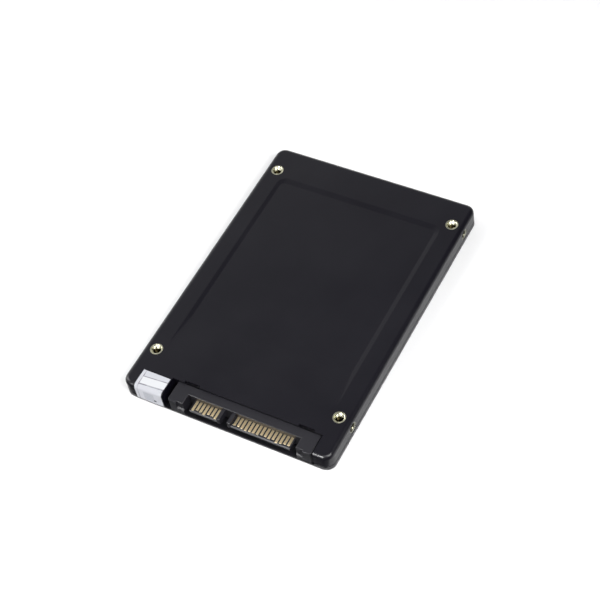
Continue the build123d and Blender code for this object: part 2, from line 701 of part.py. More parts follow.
def power_places():
    """The x place and the front end of each power contact."""
    places = []
    for pin in range(1, POWER_COUNT + 1):
        x = POWER_FIRST_X + (pin - 1) * CONTACT_PITCH
        places.append((x, contact_front(pin, LONG_POWER_PINS, MID_POWER_PINS)))
    return places


def contact_places():
    """Every contact, signal first."""
    return signal_places() + power_places()


def contact(x, front):
    """One contact strip: along the blade, out of the housing's back and down to the board."""
    half = CONTACT_THICKNESS / 2
    drop = HOUSING_BACK + FOOT_GAP + half
    path = FilletPolyline(
        (front, CONTACT_TOP - half),
        (drop, CONTACT_TOP - half),
        (drop, BOARD_TOP_HEIGHT + half),
        (CONTACT_FOOT_END, BOARD_TOP_HEIGHT + half),
        radius=CONTACT_BEND_RADIUS,
    )
    section = Plane.YZ * trace(path, CONTACT_THICKNESS)
    return Pos(x - CONTACT_WIDTH / 2, 0, 0) * extrude(section, CONTACT_WIDTH)


def circuit_board():
    """The board, with three screw holes."""
    outline = RectangleRounded(BOARD_WIDTH, BOARD_LENGTH, BOARD_CORNER)
    board = extrude(Pos(0, (BOARD_FRONT + BOARD_BACK) / 2, BOARD_LOW_HEIGHT) * outline, BOARD_THICKNESS)
    for x, y in SCREW_PLACES:
        board -= upright_rod(x, y, SCREW_HOLE_RADIUS, BOARD_LOW_HEIGHT - 1, BOARD_TOP_HEIGHT + 1)
    return board


def board_screw(x, y):
    """A small pan-head screw that goes up through the board into its post."""
    head_low = BOARD_LOW_HEIGHT - SCREW_HEAD_HEIGHT
    head = upright_rod(x, y, SCREW_HEAD_RADIUS, head_low, BOARD_LOW_HEIGHT)
    head = fillet(bottom_edges(head), SCREW_HEAD_HEIGHT * 0.45)
    tip = BOARD_LOW_HEIGHT + SCREW_LENGTH
    screw = head + upright_rod(x, y, BOARD_SCREW_RADIUS, BOARD_LOW_HEIGHT - OVERLAP / 2, tip)
    arm = SCREW_RECESS_RADIUS
    for turn in (0, 90):
        slot = Box(2 * arm, arm * 0.6, SCREW_RECESS_DEPTH, align=(Align.CENTER, Align.CENTER, Align.MIN))
        screw -= Pos(x, y, head_low) * (Rot(0, 0, turn) * slot)
    return screw


def chip(x, y, width, length, height, low=BOARD_TOP_HEIGHT):
    """A flat package with a chamfered top edge and a dimple that marks its first pin."""
    body = block(x - width / 2, x + width / 2, y - length / 2, y + length / 2, low, low + height)
    body = chamfer(top_edges(body), PACKAGE_CHAMFER)
    mark_x = x - width / 2 + min(PIN_MARK_INSET, width / 4)
    mark_y = y + length / 2 - min(PIN_MARK_INSET, length / 4)
    mark_radius = min(PIN_MARK_RADIUS, width / 10)
    return body - upright_rod(mark_x, mark_y, mark_radius, low + height - PIN_MARK_DEPTH, low + height + 1)


def flash_places():
    """The middle of each flash memory package, in a row across the board."""
    return [(i - (FLASH_COUNT - 1) / 2) * FLASH_PITCH for i in range(FLASH_COUNT)]


def controller_chip():
    """The drive's controller."""
    return chip(0, CONTROLLER_Y, CONTROLLER_SIZE, CONTROLLER_SIZE, CONTROLLER_HEIGHT)


def thermal_pad():
    """The soft pad that carries the controller's heat to the case's roof."""
    half = CONTROLLER_SIZE / 2 - 1
    low = BOARD_TOP_HEIGHT + CONTROLLER_HEIGHT
    return block(-half, half, CONTROLLER_Y - half, CONTROLLER_Y + half, low, ROOF_INSIDE)


def memory_chip():
    """The controller's working memory."""
    return chip(MEMORY_X, CONTROLLER_Y, MEMORY_WIDTH, MEMORY_LENGTH, MEMORY_HEIGHT)


def power_manager_chip():
    """The regulator that makes the board's supply voltages."""
    return chip(POWER_X, POWER_Y, POWER_CHIP_SIZE, POWER_CHIP_SIZE, POWER_CHIP_HEIGHT)


def load_switch_chip():
    """The switch that limits the inrush from the power contacts."""
    y = POWER_Y - POWER_CHIP_SIZE / 2 - SWITCH_CHIP_SIZE / 2 - 1.6
    return chip(POWER_X, y, SWITCH_CHIP_SIZE, SWITCH_CHIP_SIZE, SWITCH_CHIP_HEIGHT)


def coil(x, y):
    """A shielded inductor: a square block with cut corners and a ring groove in its top."""
    half = COIL_SIZE / 2
    top = BOARD_TOP_HEIGHT + COIL_HEIGHT
    body = block(x - half, x + half, y - half, y + half, BOARD_TOP_HEIGHT, top)
    body = chamfer(body.edges().filter_by(Axis.Z), COIL_CORNER)
    ring = upright_rod(x, y, half - 0.35, top - COIL_GROOVE, top + 1)
    return body - (ring - upright_rod(x, y, half - 0.6, top - COIL_GROOVE, top + 1))


def power_coils():
    """The regulator's inductors, beside it and behind it."""
    behind = POWER_Y + POWER_CHIP_SIZE / 2 + COIL_SIZE / 2 + PART_GAP
    inboard = POWER_X - POWER_CHIP_SIZE / 2 - COIL_SIZE / 2 - PART_GAP
    return [coil(POWER_X, behind), coil(inboard, behind)]


def small_box(x, y, length, width, height, turned=False, low=BOARD_TOP_HEIGHT):
    """A small two-ended component with softened upright edges."""
    half_x = (width if turned else length) / 2
    half_y = (length if turned else width) / 2
    body = block(x - half_x, x + half_x, y - half_y, y + half_y, low, low + height)
    return chamfer(top_edges(body), BODY_EDGE)


def bulk_capacitors():
    """Tantalum capacitors that hold the supply up, in a column beside the regulator."""
    x = EDGE_PART_X
    first = POWER_Y - 1.0
    pitch = TANTALUM_WIDTH + TANTALUM_GAP
    places = [first + i * pitch for i in range(TANTALUM_COUNT)]
    return [small_box(x, y, TANTALUM_LENGTH, TANTALUM_WIDTH, TANTALUM_HEIGHT) for y in places]


def surge_diode():
    """The diode that clamps surges on the power contacts."""
    x = POWER_X - POWER_CHIP_SIZE / 2 - 1.0 - DIODE_WIDTH / 2
    return small_box(x, POWER_Y - 2.6, DIODE_LENGTH, DIODE_WIDTH, DIODE_HEIGHT, turned=True)


def ferrite_bead():
    """The bead that filters the supply."""
    x = EDGE_PART_X
    return small_box(x, POWER_Y - 4.6, BEAD_LENGTH, BEAD_WIDTH, BEAD_HEIGHT)


def firmware_chip():
    """An eight-leg chip that holds the start-up code; its legs are part of the piece."""
    x = SMALL_CHIP_X
    y = CONTROLLER_Y + 2.2
    low = BOARD_TOP_HEIGHT
    half_x = ROM_BODY_WIDTH / 2
    half_y = ROM_BODY_LENGTH / 2
    body = block(x - half_x, x + half_x, y - half_y, y + half_y, low + ROM_STANDOFF, low + ROM_HEIGHT)
    body = chamfer(top_edges(body), PACKAGE_CHAMFER)
    knee = low + ROM_HEIGHT / 2
    for side in (-1, 1):
        for i in range(4):
            leg_y = y + (i - 1.5) * ROM_LEG_PITCH
            path = Polyline(
                (x + side * (half_x - 0.2), knee),
                (x + side * (half_x + 0.4), knee),
                (x + side * (half_x + 0.4), low + ROM_LEG_THICKNESS / 2),
                (x + side * (half_x + ROM_LEG_REACH), low + ROM_LEG_THICKNESS / 2),
            )
            section = Plane.XZ * trace(path, ROM_LEG_THICKNESS)
            body += Pos(0, leg_y, 0) * extrude(section, ROM_LEG_WIDTH / 2, both=True)
    return body


def clock_crystal():
    """The controller's clock: a ceramic base with a metal lid."""
    x = SMALL_CHIP_X
    y = CONTROLLER_Y - CRYSTAL_SETBACK
    body = small_box(x, y, CRYSTAL_LENGTH, CRYSTAL_WIDTH, CRYSTAL_HEIGHT)
    lid_low = BOARD_TOP_HEIGHT + CRYSTAL_HEIGHT
    half_x = CRYSTAL_LENGTH / 2 - CRYSTAL_LID_INSET
    half_y = CRYSTAL_WIDTH / 2 - CRYSTAL_LID_INSET
    lid_top = lid_low + CRYSTAL_LID_HEIGHT
    return body + block(x - half_x, x + half_x, y - half_y, y + half_y, lid_low - OVERLAP / 4, lid_top)


def ceramic_capacitors():
    """Ceramic capacitors: a row in front of the flash memory and rows beside the controller."""
    pieces = []
    row_y = FLASH_Y - FLASH_LENGTH / 2 - PASSIVE_ROW_GAP
    for x in flash_places():
        for shift in (-FLASH_CAPACITOR_PITCH, 0, FLASH_CAPACITOR_PITCH):
            pieces.append(small_box(x + shift, row_y, CAPACITOR_LENGTH, CAPACITOR_WIDTH, CAPACITOR_HEIGHT))
    for side in (-1, 1):
        x = side * (CONTROLLER_SIZE / 2 + SIDE_CAPACITOR_GAP)
        for i in range(SIDE_CAPACITORS):
            y = CONTROLLER_Y + (i - (SIDE_CAPACITORS - 1) / 2) * SIDE_CAPACITOR_PITCH
            size = (CAPACITOR_LENGTH, CAPACITOR_WIDTH, CAPACITOR_HEIGHT)
            pieces.append(small_box(x, y, *size, turned=True))
    return pieces


def chip_resistors():
    """Small resistors: a row between the connector's feet and the controller."""
    row_y = CONTROLLER_Y - CONTROLLER_SIZE / 2 - PASSIVE_ROW_GAP
    places = [(i - (RESISTOR_COUNT - 1) / 2) * RESISTOR_PITCH for i in range(RESISTOR_COUNT)]
    size = (RESISTOR_LENGTH, RESISTOR_WIDTH, RESISTOR_HEIGHT)
    return [small_box(x, row_y, *size, turned=True) for x in places]


def underside_capacitors():
    """Ceramic capacitors on the label side of the board, below the controller and the flash."""
    low = BOARD_LOW_HEIGHT - CAPACITOR_HEIGHT
    pieces = []
    for row_y in (CONTROLLER_Y, FLASH_Y):
        for i in range(UNDERSIDE_COUNT):
            x = (i - (UNDERSIDE_COUNT - 1) / 2) * UNDERSIDE_PITCH
            half_x = CAPACITOR_LENGTH / 2
            half_y = CAPACITOR_WIDTH / 2
            body = block(x - half_x, x + half_x, row_y - half_y, row_y + half_y, low, BOARD_LOW_HEIGHT)
            pieces.append(chamfer(bottom_edges(body), BODY_EDGE))
    return pieces


def write_node(name, shape):
    """Write one node's STEP file: a single solid, or a group of separate solids."""
    solids = shape if isinstance(shape, list) else [shape]
    pieces = [solid for piece in solids for solid in piece.solids()]
    if len(pieces) == 1:
        export_step(pieces[0], f"parts/{name}.step")
    else:
        export_step(Compound(children=pieces), f"parts/{name}.step")


os.makedirs("parts", exist_ok=True)

write_node("base_case", base_case())
write_node("label_cover", label_cover())
write_node("corner_nuts", corner_nuts())
write_node("corner_seal", corner_seal())
write_node("product_label", product_label())
write_node("sata_housing", sata_housing())
write_node("signal_contacts", [contact(x, front) for x, front in signal_places()])
write_node("power_contacts", [contact(x, front) for x, front in power_places()])
write_node("board_locks", board_locks())
write_node("circuit_board", circuit_board())
write_node("board_screws", [board_screw(x, y) for x, y in SCREW_PLACES])
write_node("controller_chip", controller_chip())
write_node("thermal_pad", thermal_pad())
write_node("memory_chip", memory_chip())
for number, flash_x in enumerate(flash_places(), start=1):
    write_node(f"flash_chip_{number}", chip(flash_x, FLASH_Y, FLASH_WIDTH, FLASH_LENGTH, FLASH_HEIGHT))
write_node("power_manager_chip", power_manager_chip())
write_node("load_switch_chip", load_switch_chip())
write_node("power_coils", power_coils())
write_node("bulk_capacitors", bulk_capacitors())
write_node("surge_diode", surge_diode())
write_node("ferrite_bead", ferrite_bead())
write_node("firmware_chip", firmware_chip())
write_node("clock_crystal", clock_crystal())
write_node("ceramic_capacitors", ceramic_capacitors())
write_node("chip_resistors", chip_resistors())
write_node("underside_capacitors", underside_capacitors())
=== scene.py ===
import json
import math

import bmesh
import bpy
from mathutils import Matrix, Vector


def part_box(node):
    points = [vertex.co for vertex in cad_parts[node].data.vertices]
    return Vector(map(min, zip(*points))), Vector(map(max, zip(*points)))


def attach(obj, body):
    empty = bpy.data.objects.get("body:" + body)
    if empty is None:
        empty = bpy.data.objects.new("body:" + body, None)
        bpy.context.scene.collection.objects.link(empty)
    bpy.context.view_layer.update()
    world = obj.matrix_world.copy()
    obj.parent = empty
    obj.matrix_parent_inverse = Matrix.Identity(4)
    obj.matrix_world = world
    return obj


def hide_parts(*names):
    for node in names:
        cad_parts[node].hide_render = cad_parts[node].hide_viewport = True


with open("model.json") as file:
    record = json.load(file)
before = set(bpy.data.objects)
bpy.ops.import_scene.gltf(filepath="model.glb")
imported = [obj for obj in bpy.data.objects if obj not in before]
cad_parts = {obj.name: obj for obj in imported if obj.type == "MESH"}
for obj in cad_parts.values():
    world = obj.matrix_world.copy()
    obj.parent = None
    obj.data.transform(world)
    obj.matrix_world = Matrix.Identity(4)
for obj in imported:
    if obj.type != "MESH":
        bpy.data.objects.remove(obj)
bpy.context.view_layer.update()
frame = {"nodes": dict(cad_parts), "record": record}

MM = 0.001

# ---- view ----
VIEW_AZIMUTH = math.radians(37.58)
VIEW_ELEVATION = math.radians(51.99)
VIEW_ROLL = math.radians(12.12)
VIEW_DISTANCE = 0.4756
VIEW_AIM = Vector((-1.0, -1.1, 3.3)) * MM
LENS = 93.68
SENSOR = 36.0
CLIP_NEAR = 0.01
CLIP_FAR = 20.0

# ---- surround ----
WORLD_BRIGHT_SIDE = Vector((-0.72, 0.38, -0.58))
WORLD_GLOW_START = -0.11
WORLD_GLOW_END = 0.33
WORLD_LOW = 0.08
WORLD_HIGH = 1.15

# ---- floor, and dark card before the drive ----
FLOOR_SIZE = 6.0
FLOOR_GAP = 0.00002
FLOOR_GRAIN = 900.0
FLOOR_TONES = ((0.94, 0.94, 0.945), (0.96, 0.96, 0.965))
CARD_WIDTH = 1.0
CARD_LENGTH = 0.20
CARD_GAP = 0.0006
CARD_HEIGHT = 0.0002
CARD_TONE = (0.02, 0.02, 0.022)
PAPER_ROUGHNESS = 0.9

# ---- lights: name, place, size, power, and whether it lights matt surfaces too ----
LIGHTS = [
    ("key_light", (0.22, -0.08, 0.26), 0.16, 1.08, True),
    ("left_light", (-0.42, -0.06, 0.30), 0.20, 1.25, True),
    ("top_light", (0.18, -0.30, 0.75), 0.45, 1.6, True),
    ("front_light", (-0.18, -0.46, 0.26), 0.08, 0.80, True),
    ("edge_light", (-0.06, -0.45, 0.27), 0.06, 3.6, False),
]

# ---- the drive's own places, read from the frame ----
nodes = frame["nodes"]
record = frame["record"]
case_low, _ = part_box("base_case")
seal_low, seal_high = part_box("corner_seal")
label_low, label_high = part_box("product_label")
mounts = {m["name"]: m for m in record["mounts"]}
NUT_X = mounts["face_nuts"]["dims"]["spacing_x_mm"] / 2 * MM
NUT_HALF_SPACING_Y = mounts["face_nuts"]["dims"]["spacing_y_mm"] / 2 * MM
NUT_MIDDLE_Y, NUT_FACE_Z = mounts["face_nuts"]["pos_m"][1:]
NUT_SIDE_X, _, SIDE_HOLE_Z = mounts["right_side_nuts"]["pos_m"]
BORE_RADIUS = mounts["face_nuts"]["dims"]["hole_r_mm"] * MM

# ---- screw thread of the nuts ----
THREAD_PITCH = 0.5 * MM
THREAD_OUTER_RADIUS = 1.5 * MM
THREAD_SLOPE = math.radians(30)
THREAD_CREST_FLAT = 0.003 * MM
THREAD_BITE = 0.05 * MM
THREAD_STEPS = 28
THREAD_START = 0.1 * MM
FACE_THREAD_DEPTH = 3.5 * MM
SIDE_THREAD_DEPTH = 2.0 * MM

# ---- mesh joining and edge rounding ----
JOIN_DISTANCE = 0.0005 * MM
FLAT_ANGLE = math.radians(0.5)
SHARP_ANGLE = math.radians(30)
EDGE_ANGLE = math.radians(40)
EDGE_SEGMENTS = 2
HOUSING_EDGE = 0.04 * MM
CONTACT_EDGE = 0.10 * MM

# ---- marks in plastics and metals: scales per metre, depths, ranges ----
PATCH_SCALE = 55.0
CELL_SHARE = 0.45
PATCH_RANGE = (0.25, 0.75)
PLASTIC_TONE_SPREAD = 0.10
PLASTIC_SMOOTHER = 0.04
PLASTIC_ROUGHER = 0.05
PLASTIC_DEPTH = 0.02 * MM
MARK_RANGE = (0.3, 0.7)
METAL_MARK_SCALE = 2500.0
METAL_TONE_SCALE = 400.0
METAL_DARK_SHARE = 0.86
METAL_ROUGH_SHARES = (0.8, 1.25)
METAL_DEPTH = 0.004 * MM
METAL_STRENGTH = 0.4

# ---- nut finish: pale rings, side ends rougher and darkened by painted shade, bores darkened by painted shade ----
NUT_TONE_SCALE = 700.0
NUT_TONES = ((0.46, 0.45, 0.33), (0.62, 0.61, 0.48))
# Painted shade: the darker colour painted on the nuts' outer side ends.
NUT_SIDE_PAINTED_SHADE_TONE = (0.32, 0.32, 0.28)
# Painted shade: the dark colour painted deep inside the bores.
NUT_BORE_PAINTED_SHADE_TONE = (0.030, 0.024, 0.010)
NUT_ROUGHNESS = (0.26, 0.42)
SIDE_END_ROUGHER = 0.35
SIDE_END_RANGE = (0.1 * MM, 0.5 * MM)
BORE_SHADE_REACH = THREAD_OUTER_RADIUS + 0.12 * MM
BORE_LIT_DEPTH = 0.5 * MM
BORE_DARK_DEPTH = 2.0 * MM
SIDE_BORE_DARKENING = 2.5

# ---- print on the seal ----
PRINT_BLUR = 0.04 * MM
MASK_EDGE = 0.05 * MM
SEAL_MARGIN = 1.05 * MM
SEAL_BACK_MARGIN = 2.2 * MM
FOLD_LINE_SETBACK = 1.25 * MM
SEAL_TURN = 0.07
SEAL_LINE = 0.14 * MM
SEAL_FOLD_LINE = 0.21 * MM
LINE_WEAR_RANGE = (0.35, 0.6)
LINE_WORN_SHARE = 0.35
LINE_INK_SHARE = 0.85
HATCH_PITCH = 0.9 * MM
HATCH_MIDDLE_X = (seal_low[0] + seal_high[0]) / 2
HATCH_MIDDLE_Z = 3.4 * MM
HATCH_HALF_WIDTH = 1.8 * MM
HATCH_HALF_HEIGHT = 2.0 * MM
HATCH_INK_SHARE = 0.45
SEAL_DOT_X = seal_low[0] + 6.6 * MM
SEAL_DOT_Z = seal_low[2] + 1.4 * MM
SEAL_DOT_HALF = 0.42 * MM
SEAL_FIBRE_SCALE = 2600.0
SEAL_BLOTCH_SCALE = 420.0
SEAL_MARGIN_TONES = ((0.470, 0.478, 0.512), (0.520, 0.528, 0.565))
SEAL_WINDOW_TONE = (0.610, 0.620, 0.640)
HATCH_INK = (0.22, 0.24, 0.28)
LINE_INK = (0.16, 0.15, 0.18)
DOT_INK = (0.07, 0.08, 0.09)

# ---- print on the label ----
LABEL_MARGIN = 2.0 * MM
LABEL_LINE = 0.12 * MM
LABEL_FRAME_SHARE = 0.98
LABEL_ROW_SHARE = 0.85
LABEL_ROWS = 7
LABEL_ROW_PITCH = 4.0 * MM
LABEL_FIRST_ROW_SHARE = 0.75
LABEL_BAND_HALF = 5.0 * MM
LABEL_BAND_SHARE = 0.62
LABEL_GRAIN_SCALE = 2200.0
LABEL_TONES = ((0.60, 0.61, 0.63), (0.70, 0.71, 0.73))
LABEL_BAND_INK = (0.10, 0.13, 0.17)
LABEL_INK = (0.09, 0.09, 0.10)
LABEL_INK_SHARE = 0.8
PAPER_DEPTH = 0.01 * MM

# A Mix node's colour sockets, by number, because their names repeat.
COLOUR_A, COLOUR_B, COLOUR_OUT = 6, 7, 2


# ---------------------------------------------------------------- node helpers

def new_material(name):
    """An empty material with an output and a Principled shader."""
    material = bpy.data.materials.new(name)
    material.use_nodes = True
    tree = material.node_tree
    tree.nodes.clear()
    output = tree.nodes.new("ShaderNodeOutputMaterial")
    shader = tree.nodes.new("ShaderNodeBsdfPrincipled")
    tree.links.new(shader.outputs["BSDF"], output.inputs["Surface"])
    return material, tree, shader


def add(tree, kind, **settings):
    """A node with its settings made in one call."""
    node = tree.nodes.new(kind)
    for key, value in settings.items():
        setattr(node, key, value)
    return node


def feed(tree, source, target):
    """Links a socket to a socket, or puts a plain value on it."""
    if isinstance(source, bpy.types.NodeSocket):
        tree.links.new(source, target)
    else:
        target.default_value = source


def math_node(tree, operation, a, b=None):
    """A Math node's output."""
    node = add(tree, "ShaderNodeMath", operation=operation)
    feed(tree, a, node.inputs[0])
    if b is not None:
        feed(tree, b, node.inputs[1])
    return node.outputs[0]


def away_from(tree, value, middle):
    """How far a value lies from a middle, on either side."""
    return math_node(tree, "ABSOLUTE", math_node(tree, "SUBTRACT", value, middle))


def both(tree, a, b):
    """The product of two masks."""
    return math_node(tree, "MULTIPLY", a, b)


def either(tree, a, b):
    """The larger of two masks."""
    return math_node(tree, "MAXIMUM", a, b)


def mix_colour(tree, factor, a, b):
    """A colour mix's output. A plain colour is given as three numbers."""
    node = add(tree, "ShaderNodeMix", data_type="RGBA")
    feed(tree, factor, node.inputs["Factor"])
    for source, place in ((a, COLOUR_A), (b, COLOUR_B)):
        linked_colour = isinstance(source, bpy.types.NodeSocket)
        feed(tree, source if linked_colour else (*source, 1.0), node.inputs[place])
    return node.outputs[COLOUR_OUT]


def object_coordinates(tree):
    """Object coordinates."""
    return add(tree, "ShaderNodeTexCoord").outputs["Object"]


def object_axes(tree):
    """The x, y and z of Object coordinates."""
    split = add(tree, "ShaderNodeSeparateXYZ")
    tree.links.new(object_coordinates(tree), split.inputs[0])
    return split.outputs["X"], split.outputs["Y"], split.outputs["Z"]


def noise(tree, vector, scale, detail=2.0, roughness=0.5):
    """A noise texture's value."""
    node = add(tree, "ShaderNodeTexNoise")
    tree.links.new(vector, node.inputs["Vector"])
    feed(tree, scale, node.inputs["Scale"])
    node.inputs["Detail"].default_value = detail
    node.inputs["Roughness"].default_value = roughness
    return node.outputs["Fac"]


def remap(tree, value, old_range, new_range):
    """A value moved from one range to another, kept inside it."""
    node = add(tree, "ShaderNodeMapRange")
    feed(tree, value, node.inputs["Value"])
    names = ("From Min", "From Max", "To Min", "To Max")
    for label, number in zip(names, (*old_range, *new_range)):
        node.inputs[label].default_value = number
    return node.outputs["Result"]


def beyond(tree, value, edge):
    """1 where a value is past an edge, 0 before it."""
    return remap(tree, value, (edge - MASK_EDGE, edge + MASK_EDGE), (0.0, 1.0))


def make_group(name, inputs, outputs):
    """An empty shader group with named float inputs and outputs."""
    group = bpy.data.node_groups.new(name, "ShaderNodeTree")
    sockets = group.interface
    for label, default in inputs:
        socket = sockets.new_socket(label, in_out="INPUT", socket_type="NodeSocketFloat")
        socket.default_value = default
    for label in outputs:
        sockets.new_socket(label, in_out="OUTPUT", socket_type="NodeSocketFloat")
    return group, group.nodes.new("NodeGroupInput"), group.nodes.new("NodeGroupOutput")


def place_group(tree, group, **values):
    """A group in a material, with its own values; underscores stand for spaces."""
    node = add(tree, "ShaderNodeGroup", node_tree=group)
    for label, value in values.items():
        feed(tree, value, node.inputs[label.replace("_", " ")])
    return node


def bump(tree, shader, height, strength, distance):
    """A Bump node that feeds the shader's normal."""
    node = add(tree, "ShaderNodeBump")
    node.inputs["Strength"].default_value = strength
    node.inputs["Distance"].default_value = distance
    tree.links.new(height, node.inputs["Height"])
    tree.links.new(node.outputs["Normal"], shader.inputs["Normal"])


# ---------------------------------------------------------------- shared effects

def mould_texture_group():
    """The fine pitted texture that a spark-eroded mould leaves on plastic."""
    group, entry, leave = make_group(
        "mould_texture",
        [("Grain", 9000.0), ("Patch", PATCH_SCALE)],
        ["Height", "Patchiness"],
    )
    vector = object_coordinates(group)
    grain = entry.outputs["Grain"]
    fine = noise(group, vector, grain, 3.0, 0.6)
    cells = add(group, "ShaderNodeTexVoronoi", feature="SMOOTH_F1")
    group.links.new(vector, cells.inputs["Vector"])
    cell_scale = math_node(group, "MULTIPLY", grain, CELL_SHARE)
    group.links.new(cell_scale, cells.inputs["Scale"])
    height = math_node(group, "ADD", fine, cells.outputs["Distance"])
    group.links.new(height, leave.inputs["Height"])
    patch = noise(group, vector, entry.outputs["Patch"], 4.0)
    group.links.new(patch, leave.inputs["Patchiness"])
    return group


def ruled_line_group():
    """A printed line or patch: 1 where a value is within its half width, with a soft edge."""
    group, entry, leave = make_group(
        "ruled_line",
        [("Value", 0.0), ("Place", 0.0), ("Half Width", 0.0001)],
        ["Mask"],
    )
    away = away_from(group, entry.outputs["Value"], entry.outputs["Place"])
    past = math_node(group, "SUBTRACT", away, entry.outputs["Half Width"])
    mask = remap(group, past, (-PRINT_BLUR, PRINT_BLUR), (1.0, 0.0))
    group.links.new(mask, leave.inputs["Mask"])
    return group


mould_texture = mould_texture_group()
ruled_line = ruled_line_group()


def line_mask(tree, value, place, half_width):
    """The mask of one printed line."""
    line = place_group(tree, ruled_line, Value=value, Place=place, Half_Width=half_width)
    return line.outputs["Mask"]


# ---------------------------------------------------------------- materials

def plastic(name, colour, roughness, grain=9000.0, strength=0.35, specular=0.5):
    """A moulded plastic: fine grain, with faint changes of tone and gloss."""
    material, tree, shader = new_material(name)
    texture = place_group(tree, mould_texture, Grain=grain, Patch=PATCH_SCALE)
    patch = texture.outputs["Patchiness"]
    dark = [c * (1 - PLASTIC_TONE_SPREAD) for c in colour]
    light = [c * (1 + PLASTIC_TONE_SPREAD) for c in colour]
    gloss = (roughness - PLASTIC_SMOOTHER, roughness + PLASTIC_ROUGHER)
    feed(tree, mix_colour(tree, patch, dark, light), shader.inputs["Base Color"])
    feed(tree, remap(tree, patch, PATCH_RANGE, gloss), shader.inputs["Roughness"])
    shader.inputs["Specular IOR Level"].default_value = specular
    bump(tree, shader, texture.outputs["Height"], strength, PLASTIC_DEPTH)
    return material


def metal(name, colour, roughness):
    """A plated or turned metal with fine marks."""
    material, tree, shader = new_material(name)
    vector = object_coordinates(tree)
    marks = noise(tree, vector, METAL_MARK_SCALE, 4.0)
    tone = noise(tree, vector, METAL_TONE_SCALE)
    dark = [c * METAL_DARK_SHARE for c in colour]
    gloss = [roughness * share for share in METAL_ROUGH_SHARES]
    feed(tree, mix_colour(tree, tone, dark, colour), shader.inputs["Base Color"])
    feed(tree, remap(tree, marks, MARK_RANGE, gloss), shader.inputs["Roughness"])
    shader.inputs["Metallic"].default_value = 1.0
    bump(tree, shader, marks, METAL_STRENGTH, METAL_DEPTH)
    return material


def bore_shade(tree, first, second, depth):
    """Mask of the painted shade in a bore: 1 deep inside it, 0 at its mouth and outside it, from
    two offsets and a depth.
    """
    squares = [math_node(tree, "POWER", offset, 2.0) for offset in (first, second)]
    reach = math_node(tree, "SQRT", math_node(tree, "ADD", *squares))
    inside = math_node(tree, "LESS_THAN", reach, BORE_SHADE_REACH)
    return both(tree, inside, remap(tree, depth, (BORE_LIT_DEPTH, BORE_DARK_DEPTH), (0.0, 1.0)))


def nut_metal():
    """Turned nickel-yellow brass; painted shade darkens the bores deep down and the outer side
    ends, which are also rougher.
    """
    material, tree, shader = new_material("nut_brass")
    vector = object_coordinates(tree)
    x, y, z = object_axes(tree)
    out = math_node(tree, "ABSOLUTE", x)
    from_axis_x = math_node(tree, "SUBTRACT", out, NUT_X)
    along = away_from(tree, y, NUT_MIDDLE_Y)
    from_axis_y = math_node(tree, "SUBTRACT", along, NUT_HALF_SPACING_Y)
    from_axis_z = math_node(tree, "SUBTRACT", z, SIDE_HOLE_Z)
    face_depth = math_node(tree, "SUBTRACT", NUT_FACE_Z, z)
    side_depth = math_node(tree, "SUBTRACT", NUT_SIDE_X, out)
    side_dark_depth = math_node(tree, "MULTIPLY", side_depth, SIDE_BORE_DARKENING)
    face_shade = bore_shade(tree, from_axis_x, from_axis_y, face_depth)
    side_shade = bore_shade(tree, from_axis_y, from_axis_z, side_dark_depth)
    shade = either(tree, face_shade, side_shade)
    side_end = remap(tree, side_depth, SIDE_END_RANGE, (1.0, 0.0))
    marks = noise(tree, vector, METAL_MARK_SCALE, 4.0)
    tone = noise(tree, vector, NUT_TONE_SCALE, 3.0)
    bright = mix_colour(tree, tone, *NUT_TONES)
    # Painted shade: the outer side ends are painted darker.
    with_painted_side_shade = mix_colour(tree, side_end, bright, NUT_SIDE_PAINTED_SHADE_TONE)
    # Painted shade: the bores are painted darker with depth.
    feed(tree, mix_colour(tree, shade, with_painted_side_shade, NUT_BORE_PAINTED_SHADE_TONE), shader.inputs["Base Color"])
    gloss = remap(tree, marks, MARK_RANGE, NUT_ROUGHNESS)
    duller = math_node(tree, "MULTIPLY", side_end, SIDE_END_ROUGHER)
    feed(tree, math_node(tree, "ADD", gloss, duller), shader.inputs["Roughness"])
    shader.inputs["Metallic"].default_value = 1.0
    bump(tree, shader, marks, METAL_STRENGTH, METAL_DEPTH)
    return material


